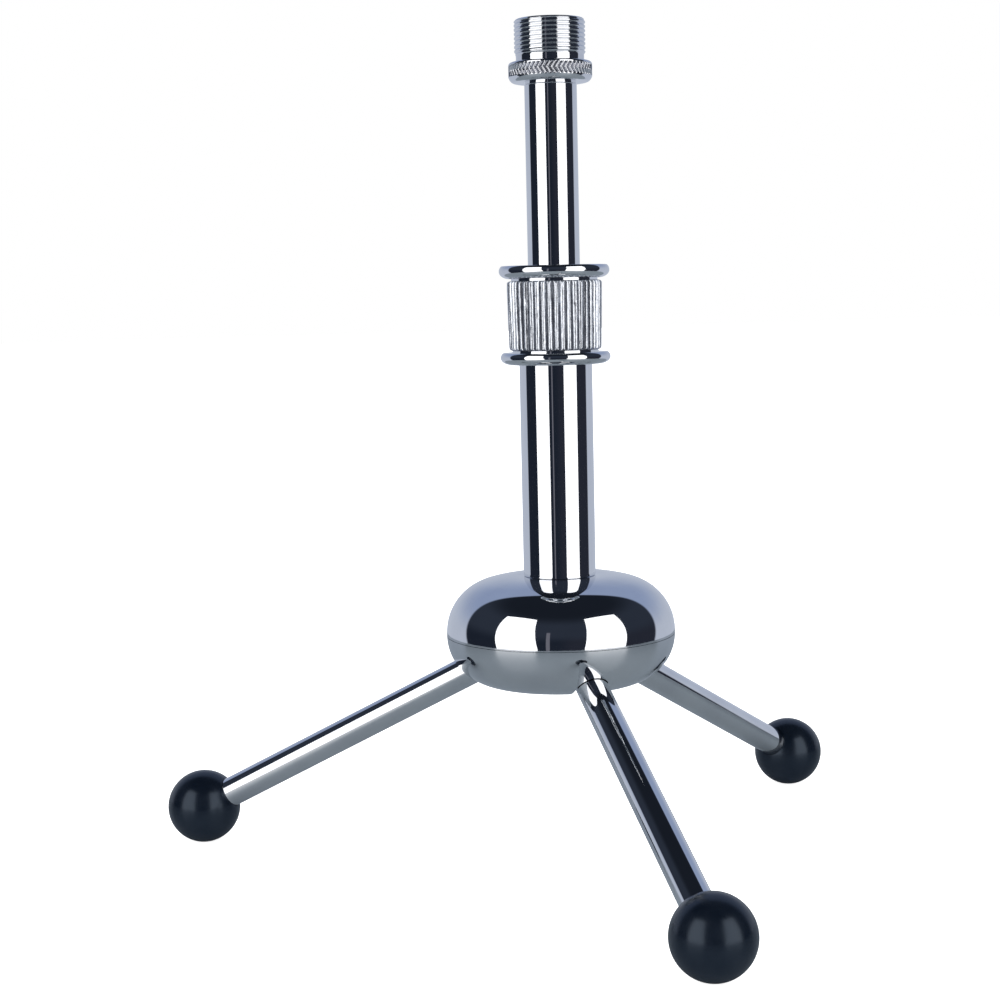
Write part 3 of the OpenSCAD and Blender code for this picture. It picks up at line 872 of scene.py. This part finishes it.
def make_world():
    """White for the eye and for soft fill; in the chrome, a pale backdrop behind a dark room."""
    world = bpy.data.worlds.new("studio")
    bpy.context.scene.world = world
    world.use_nodes = True
    tree = world.node_tree
    tree.nodes.clear()
    new = tree.nodes.new
    link = tree.links.new
    out = new("ShaderNodeOutputWorld")
    ray = new("ShaderNodeTexCoord")

    def along(direction):
        """How far the ray points along a direction."""
        node = new("ShaderNodeVectorMath")
        node.operation = "DOT_PRODUCT"
        node.inputs[1].default_value = direction
        link(ray.outputs["Generated"], node.inputs[0])
        return node.outputs["Value"]

    def step(value, low, high):
        """A soft step from 0 at low to 1 at high."""
        node = new("ShaderNodeMapRange")
        node.interpolation_type = "SMOOTHSTEP"
        node.inputs["From Min"].default_value = low
        node.inputs["From Max"].default_value = high
        link(value, node.inputs["Value"])
        return node.outputs["Result"]

    def put(socket, colour):
        """Sets a socket to a plain colour, or links it to another node."""
        if isinstance(colour, tuple):
            socket.default_value = (*colour, 1)
        else:
            link(colour, socket)

    def mix(share, first, second):
        """The first colour where the share is 0, and the second where it is 1."""
        node = new("ShaderNodeMix")
        node.data_type = "RGBA"
        link(share, node.inputs["Factor"])
        put(node.inputs["A"], first)
        put(node.inputs["B"], second)
        return node.outputs["Result"]

    def combine(operation, first, second):
        """One number made of two."""
        node = new("ShaderNodeMath")
        node.operation = operation
        link(first, node.inputs[0])
        link(second, node.inputs[1])
        return node.outputs["Value"]

    upward = Vector((0, 0, 1))
    height = along(upward)
    side = along(TO_SIDE)
    behind = step(along(Vector((0, 0, -BACKDROP_TILT)) - TO_CAMERA), *BACKDROP_EDGE)
    pale = mix(step(height, *BACKDROP_FADE), BACKDROP_LOW, BACKDROP_HIGH)
    level = mix(step(side, *ROOM_FADE), ROOM_LEFT, ROOM_RIGHT)
    wall = mix(step(height, *WALL_FADE), level, ROOM_WALL)
    dark = mix(step(height, *CEILING_FADE), wall, ROOM_CEILING)
    left_edge = step(along(upward.cross(at_azimuth(STRIP_LEFT))), 0.0, STRIP_SOFTNESS)
    right_edge = step(along(at_azimuth(STRIP_RIGHT).cross(upward)), 0.0, STRIP_SOFTNESS)
    ends = combine("MULTIPLY", step(height, *STRIP_FOOT), step(along(-upward), *STRIP_HEAD))
    strip = combine("MULTIPLY", combine("MULTIPLY", left_edge, right_edge), ends)
    room = mix(behind, mix(strip, dark, STRIP), pale)
    path = new("ShaderNodeLightPath")
    fill = combine("MAXIMUM", path.outputs["Is Camera Ray"], path.outputs["Is Diffuse Ray"])
    background = new("ShaderNodeBackground")
    link(mix(fill, room, (1.0, 1.0, 1.0)), background.inputs["Color"])
    link(background.outputs["Background"], out.inputs["Surface"])


SOFTBOX_AZIMUTH = 48.5
SOFTBOX_DISTANCE = 1.0
SOFTBOX_WIDTH = 0.79
SOFTBOX_LOW = -0.25
SOFTBOX_HIGH = 1.28
SOFTBOX_RADIANCE = 1.6
SOFTBOX_LEAN = math.radians(7)


def make_softbox(name, azimuth):
    """An upright softbox whose top leans outward, its azimuth measured from the camera's."""
    direction = at_azimuth(azimuth)
    tall = SOFTBOX_HIGH - SOFTBOX_LOW
    data = bpy.data.lights.new(name, "AREA")
    data.shape = "RECTANGLE"
    data.size = SOFTBOX_WIDTH
    data.size_y = tall
    data.energy = SOFTBOX_RADIANCE * SOFTBOX_WIDTH * tall * math.pi
    lamp = bpy.data.objects.new(name, data)
    bpy.context.collection.objects.link(lamp)
    place = direction * SOFTBOX_DISTANCE + Vector((0, 0, (SOFTBOX_LOW + SOFTBOX_HIGH) / 2))
    facing = (-direction).to_track_quat("-Z", "Y").to_matrix().to_4x4()
    lean = Matrix.Rotation(-math.copysign(SOFTBOX_LEAN, azimuth), 4, "Z")
    lamp.matrix_world = Matrix.Translation(place) @ facing @ lean
    lamp.visible_camera = False


FLOOR_WHITE = (0.92, 0.92, 0.92)
FLOOR_IN_CHROME = (0.205, 0.24, 0.27)
FLOOR_GLOW = 0.85
FLOOR_REACH = 6.0
TABLE_R = 0.33
TABLE_ROUGHNESS = 0.3


def make_floor():
    """A pale table top: plain white to the eye, and a round grey one in the chrome."""
    mesh = bpy.data.meshes.new("floor")
    corners = [(x * FLOOR_REACH, y * FLOOR_REACH, 0) for x, y in ((-1, -1), (1, -1), (1, 1), (-1, 1))]
    mesh.from_pydata(corners, [], [(0, 1, 2, 3)])
    floor = bpy.data.objects.new("floor", mesh)
    bpy.context.collection.objects.link(floor)
    material = bpy.data.materials.new("floor_white")
    material.use_nodes = True
    tree = material.node_tree
    tree.nodes.clear()
    new = tree.nodes.new
    link = tree.links.new
    out = new("ShaderNodeOutputMaterial")
    white = new("ShaderNodeBsdfDiffuse")
    white.inputs["Color"].default_value = (*FLOOR_WHITE, 1)
    glow = new("ShaderNodeEmission")
    glow.inputs["Strength"].default_value = FLOOR_GLOW
    lit = new("ShaderNodeAddShader")
    link(white.outputs["BSDF"], lit.inputs[0])
    link(glow.outputs["Emission"], lit.inputs[1])
    grey = new("ShaderNodeBsdfPrincipled")
    grey.inputs["Base Color"].default_value = (*FLOOR_IN_CHROME, 1)
    grey.inputs["Roughness"].default_value = TABLE_ROUGHNESS
    clear = new("ShaderNodeBsdfTransparent")
    path = new("ShaderNodeLightPath")
    geometry = new("ShaderNodeNewGeometry")
    length = new("ShaderNodeVectorMath")
    length.operation = "LENGTH"
    link(geometry.outputs["Position"], length.inputs[0])
    edge = new("ShaderNodeMath")
    edge.operation = "GREATER_THAN"
    edge.inputs[1].default_value = TABLE_R
    link(length.outputs["Value"], edge.inputs[0])
    reflected = new("ShaderNodeMixShader")
    link(edge.outputs["Value"], reflected.inputs["Fac"])
    link(grey.outputs["BSDF"], reflected.inputs[1])
    link(clear.outputs["BSDF"], reflected.inputs[2])
    whole = new("ShaderNodeMixShader")
    link(path.outputs["Is Glossy Ray"], whole.inputs["Fac"])
    link(lit.outputs["Shader"], whole.inputs[1])
    link(reflected.outputs["Shader"], whole.inputs[2])
    link(whole.outputs["Shader"], out.inputs["Surface"])
    mesh.materials.append(material)


make_world()
make_softbox("softbox_left", -SOFTBOX_AZIMUTH)
make_softbox("softbox_right", SOFTBOX_AZIMUTH)
make_floor()

bpy.context.scene.view_settings.view_transform = "Standard"
